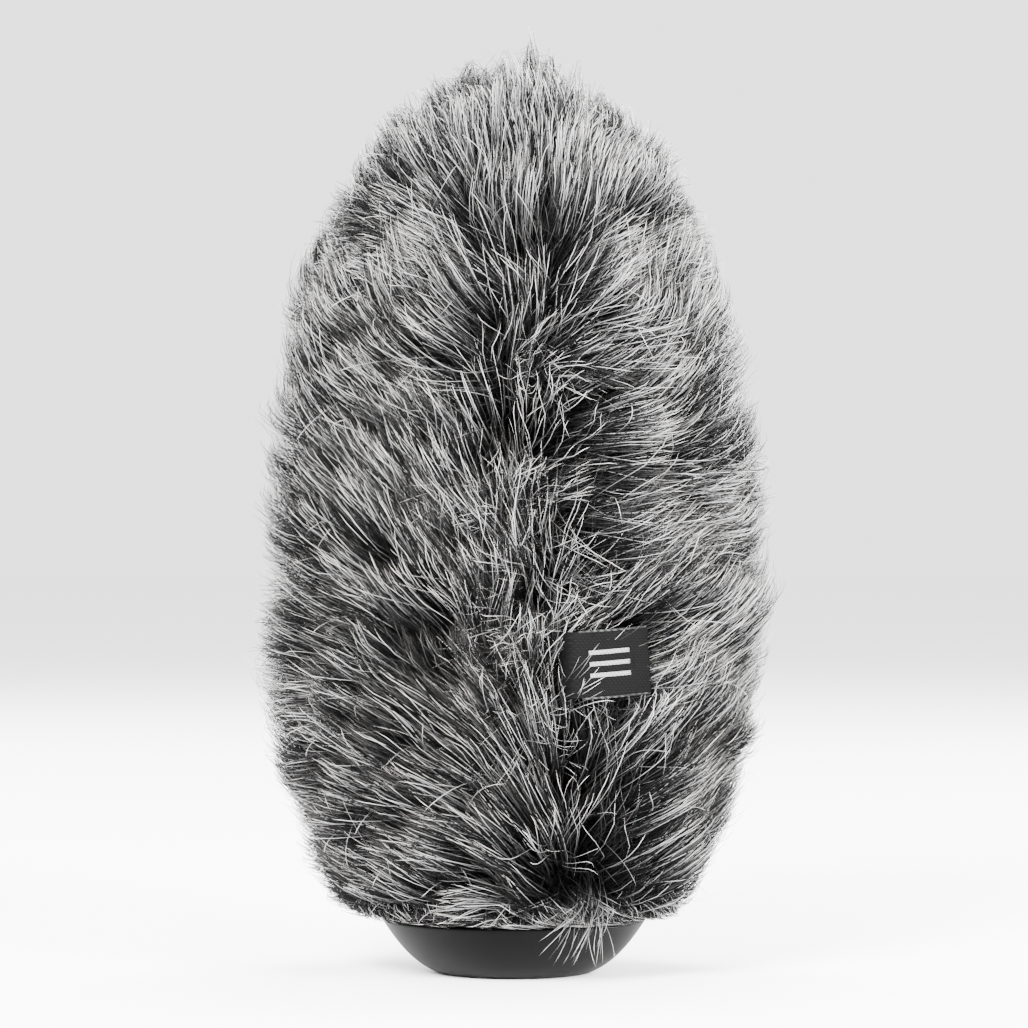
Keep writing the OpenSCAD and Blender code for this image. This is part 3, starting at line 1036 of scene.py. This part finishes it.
def guard_hairs():
    """The long outer hairs, gathered into tufts, and the tufts into locks."""
    draw = np.random.default_rng(5)
    t = GUARD_STEPS

    locks = jitter(roots(LOCKS, 17 * MM), 1.5 * MM, draw)
    lock_stand = draw.uniform(0.84, 1.1, LOCKS)
    lock_sway = draw.normal(0, 0.18, LOCKS)
    lock_lay = draw.uniform(16, 25, LOCKS) * MM
    lock_lines = grow(locks, t, lock_lay, lock_stand, 1.8, 1.5, lock_sway)[0]

    tufts = jitter(roots(TUFTS, 15.5 * MM), 0.9 * MM, draw)
    turn, z = turn_of(tufts), tufts[:, 2]
    tousle = patches(turn, z, TOUSLED)
    tousled = np.minimum(tousle, 1)
    lock = nearest(tufts, locks)
    tuft_stand = lock_stand[lock] * draw.uniform(0.92, 1.03, TUFTS)
    tuft_lay = draw.uniform(14, 26, TUFTS) * MM * (1 - 0.35 * tousled)
    tuft_sway = lock_sway[lock] + draw.normal(0, 0.15, TUFTS) * (1 + 5 * tousle)
    tuft_lines, tuft_across = grow(tufts, t, tuft_lay, tuft_stand, 1.8, 1.5, tuft_sway)
    tuft_phase = draw.uniform(0, math.tau, TUFTS)
    wave_size = draw.uniform(0.2, 1.2, TUFTS) * MM
    tuft_lines = waved(tuft_lines, tuft_across, t, wave_size, tuft_phase, draw.uniform(0.5, 1.2, TUFTS))
    share = draw.uniform(0.25, 0.65, TUFTS) * (1 - 0.8 * tousled)
    tuft_lines = gathered(tuft_lines, t, lock_lines[lock], share, 0.2)

    owner = np.repeat(np.arange(TUFTS), HAIRS_IN_TUFT)
    count = len(owner)
    root = jitter(tufts[owner], 1.3 * MM, draw)
    stand = tuft_stand[owner] * np.clip(draw.normal(0.95, 0.1, count), 0.55, 1.1)
    lay = tuft_lay[owner] * draw.uniform(0.75, 1.25, count)
    sway = tuft_sway[owner] + draw.normal(0, 0.25, count)
    lines, across = grow(root, t, lay, stand, 1.8, 1.5, sway)
    wave_size = draw.uniform(0.1, 1.2, count) * MM
    phase = tuft_phase[owner] + draw.normal(0, 1.0, count)
    lines = waved(lines, across, t, wave_size, phase, draw.uniform(0.6, 1.6, count))
    lines = gathered(lines, t, tuft_lines[owner], draw.uniform(0.2, 0.75, count), 0.1)
    lines = peaked(held_up(swung_up(lines, t, 11.5 * MM)))

    beside = near_parting(turn, z, 9) * (1 - smooth(z, 146 * MM, 156 * MM))
    # painted light: the pale share grows towards the top, as if lit from above
    painted_top_light = 0.26 * smooth(z, 20 * MM, 110 * MM) + 0.52 * smooth(z, 110 * MM, 165 * MM)
    shade = np.clip(draw.normal(0.28, 0.17, TUFTS), 0.05, 0.8)
    # painted shade: fewer pale hairs in the darker patches, over the hollows
    shade = shade * (1 - patches(turn, z, PAINTED_SHADE_PATCHES))
    # painted shade: fewer pale hairs along the front parting and in the tousled patches, where the pile parts
    # and sinks in
    shade = shade * (1 - 0.3 * beside) * (1 - 0.35 * tousled)
    # painted light: more pale hairs towards the top and on the right side, fewer on the lower left
    shade = shade * (0.58 + 0.16 * np.sin(turn) + painted_top_light)
    radius = draw.uniform(0.075, 0.12, count) * MM
    return lines, t, across, radius, random_tints(draw, shade[owner])


def under_hairs():
    """The short dark undercoat."""
    draw = np.random.default_rng(6)
    count = UNDERHAIRS
    t = UNDER_STEPS
    root = jitter(roots(count, 15 * MM), 0.8 * MM, draw)
    lay = draw.uniform(4, 14, count) * MM
    stand = draw.uniform(0.35, 0.68, count)
    lines, across = grow(root, t, lay, stand, 1.6, 1.3, draw.normal(0, 0.7, count))
    lines = held_up(freely_waved(lines, across, t, draw, (0.8, 2.2), (0.6, 1.6)), 13.5 * MM)
    radius = draw.uniform(0.2, 0.3, count) * MM
    return lines, t, across, radius, draw.uniform(0, 0.4, count)


def stray_hairs():
    """Fine long hairs that cross the others."""
    draw = np.random.default_rng(7)
    count = STRAYS
    t = STRAY_STEPS
    root = jitter(roots(count, 16 * MM), 1.5 * MM, draw)
    lay = draw.uniform(8, 24, count) * MM
    stand = draw.uniform(0.9, 1.1, count)
    lines, across = grow(root, t, lay, stand, 1.7, 1.5, draw.normal(0, 0.8, count))
    lines = freely_waved(lines, across, t, draw, (0.6, 2.5), (0.5, 1.3))
    lines = held_up(swung_up(lines, t, HEM_CLEAR_Z))
    radius = draw.uniform(0.07, 0.1, count) * MM
    return lines, t, across, radius, draw.uniform(0.6, 1, count)


def tangled_hairs():
    """Short curls pulled loose: three in four in the tousled patches, the rest along the front parting."""
    draw = np.random.default_rng(8)
    places = np.array(TOUSLED)[draw.integers(0, len(TOUSLED), CURLS)]
    reach = places[:, 2] * MM
    along = draw.uniform(0, 1, CURLS) < 0.25
    z = places[:, 1] * MM + draw.normal(0, 0.5, CURLS) * reach
    z = np.clip(np.where(along, draw.uniform(22, 146, CURLS) * MM, z), 20 * MM, 148 * MM)
    turn = np.radians(places[:, 0]) + draw.normal(0, 0.6, CURLS) * reach / PILE_MID_R
    turn = np.where(along, parting_turn(z) + draw.normal(0, math.radians(5), CURLS), turn)

    t = TANGLE_STEPS
    curl = np.repeat(np.arange(CURLS), HAIRS_IN_CURL)
    count = len(curl)
    root = jitter(round_points(BACKING_R, turn, z)[curl], 0.9 * MM, draw)
    lay = draw.uniform(4, 15, CURLS)[curl] * draw.uniform(0.6, 1.2, count) * MM
    stand = draw.uniform(0.6, 0.95, CURLS)[curl] * draw.uniform(0.85, 1.08, count)
    sway = draw.uniform(-2.6, 2.6, CURLS)[curl] + draw.normal(0, 0.3, count)
    lines, across = grow(root, t, lay, stand, 1.6, 1.4, sway)
    wave_size = draw.uniform(0.6, 2.6, CURLS)[curl] * draw.uniform(0.7, 1.2, count) * MM
    phase = draw.uniform(0, math.tau, CURLS)[curl] + draw.normal(0, 0.5, count)
    lines = waved(lines, across, t, wave_size, phase, draw.uniform(0.4, 1.3, CURLS)[curl])
    radius = draw.uniform(0.07, 0.105, count) * MM
    return lines, t, across, radius, random_tints(draw, np.full(count, 0.58))


def fringe_hairs():
    """Short hairs that hang over the hem all the way round."""
    draw = np.random.default_rng(9)
    count = FRINGE_CLUMPS * HAIRS_IN_CLUMP
    t = FRINGE_STEPS
    turn = draw.uniform(-math.pi, math.pi, count)
    clump = np.repeat(draw.normal(0, 1, FRINGE_CLUMPS), HAIRS_IN_CLUMP)
    turn = np.sort(turn)
    z = draw.uniform(16, 23, count) * MM
    drop = (draw.uniform(4.5, 8.5, count) + clump) * MM
    reach = draw.uniform(3, 8.5, count) * MM
    slant = np.radians(9 * clump + draw.normal(0, 8, count) + 6)
    line_r = BACKING_R + reach[:, None] * (1 - (1 - t[None, :]) ** 1.7)
    lines = held_up(round_points(line_r, swept(turn, slant, t, 1.3), swept(z, -drop, t, 1.4)))
    radius = draw.uniform(0.075, 0.12, count) * MM
    shade = np.clip(0.2 + 0.08 * clump, 0.08, 0.45)
    return lines, t, around_at(turn), radius, random_tints(draw, shade)


def hanging_lock():
    """The loose lock at the front that falls over the hem and the boot."""
    draw = np.random.default_rng(10)
    count = LOOSE_HAIRS
    t = TANGLE_STEPS
    start_turn = math.radians(27) + draw.normal(0, 0.06, count)
    end_turn = math.radians(26) + draw.uniform(-0.36, 0.2, count)
    start_z = draw.uniform(20, 27, count) * MM
    end_z = draw.uniform(3.5, 12.5, count) * MM
    bow = draw.uniform(6, 12, count) * MM
    line_turn = swept(start_turn, end_turn - start_turn, t, 1.6)
    line_r = BACKING_R + bow[:, None] * np.sin(math.pi * (0.08 + 0.7 * t[None, :])) ** 0.8
    lines = round_points(line_r, line_turn, swept(start_z, end_z - start_z, t, 1.3))
    across = around_at(start_turn)
    lines = freely_waved(lines, across, t, draw, (0.2, 1.3), (0.4, 1.2))
    radius = draw.uniform(0.06, 0.095, count) * MM
    return lines, t, across, radius, random_tints(draw, np.full(count, 0.6))


def label_hairs():
    """A few hairs that fall across the label's left end."""
    draw = np.random.default_rng(11)
    count = CROSSING_HAIRS
    t = TANGLE_STEPS
    start_turn = SEAM_TURN + draw.normal(-0.02, 0.03, count)
    end_turn = SEAM_TURN + draw.uniform(0.02, 0.17, count)
    start_z = LABEL_Z + draw.uniform(-11, -5, count) * MM
    rise = draw.uniform(5, 12, count) * MM
    top_r = LABEL_TURN_R + draw.uniform(1.2, 2.6, count) * MM
    line_turn = swept(start_turn, end_turn - start_turn, t, 1.5)
    line_r = BACKING_R + (top_r - BACKING_R)[:, None] * (1 - (1 - t[None, :]) ** 3)
    lines = round_points(line_r, line_turn, swept(start_z, rise, t, 1.2))
    radius = draw.uniform(0.075, 0.11, count) * MM
    return lines, t, around_at(start_turn), radius, draw.uniform(0.6, 0.9, count)


def add_fur():
    """The pile, in pieces by panel and height so that none is too big to export whole."""
    for kind, make, bands in (
        ("guard", guard_hairs, 7), ("under", under_hairs, 1), ("stray", stray_hairs, 1),
        ("tangle", tangled_hairs, 1), ("fringe", fringe_hairs, 1), ("lock", hanging_lock, 1),
        ("crossing", label_hairs, 1),
    ):
        lines, t, across, radius, tint = make()
        root = lines[:, 0]
        crown = root[:, 2] > DOME_Z
        side = np.sin(turn_of(root) - SEAM_TURN) >= 0
        for panel, chosen in (("left", ~crown & ~side), ("right", ~crown & side), ("crown", crown)):
            index = np.flatnonzero(chosen)
            index = index[np.argsort(root[index, 2], kind="stable")]
            pieces = bands if panel != "crown" else math.ceil(bands * 2 / 3)
            for number, part in enumerate(np.array_split(index, pieces)):
                if len(part) == 0:
                    continue
                name = f"fur_{kind}_{panel}_{number}"
                piece = fibre_mesh(name, lines[part], t, across[part], radius[part], tint[part])
                finish_piece(piece, "fur_cover", "fur", FIBRE, f"fur_pile_{panel}")


def dress_nodes():
    """Better materials for the CAD nodes that stay."""
    looks = {
        "mic_grip_collar": COLLAR, "boot_insert_ring": POLYMER, "cage_base_flange": POLYMER,
        "cage_half_left": POLYMER, "cage_half_right": POLYMER, "cage_clip_bands": POLYMER,
        "cage_nose_cap": POLYMER, "hem_elastic": ELASTIC,
    }
    for name, look in looks.items():
        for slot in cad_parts[name].material_slots:
            slot.material = look


add_camera()
add_studio()
add_boot()
add_foam()
add_backing(add_tapes())
add_label()
add_fur()
dress_nodes()
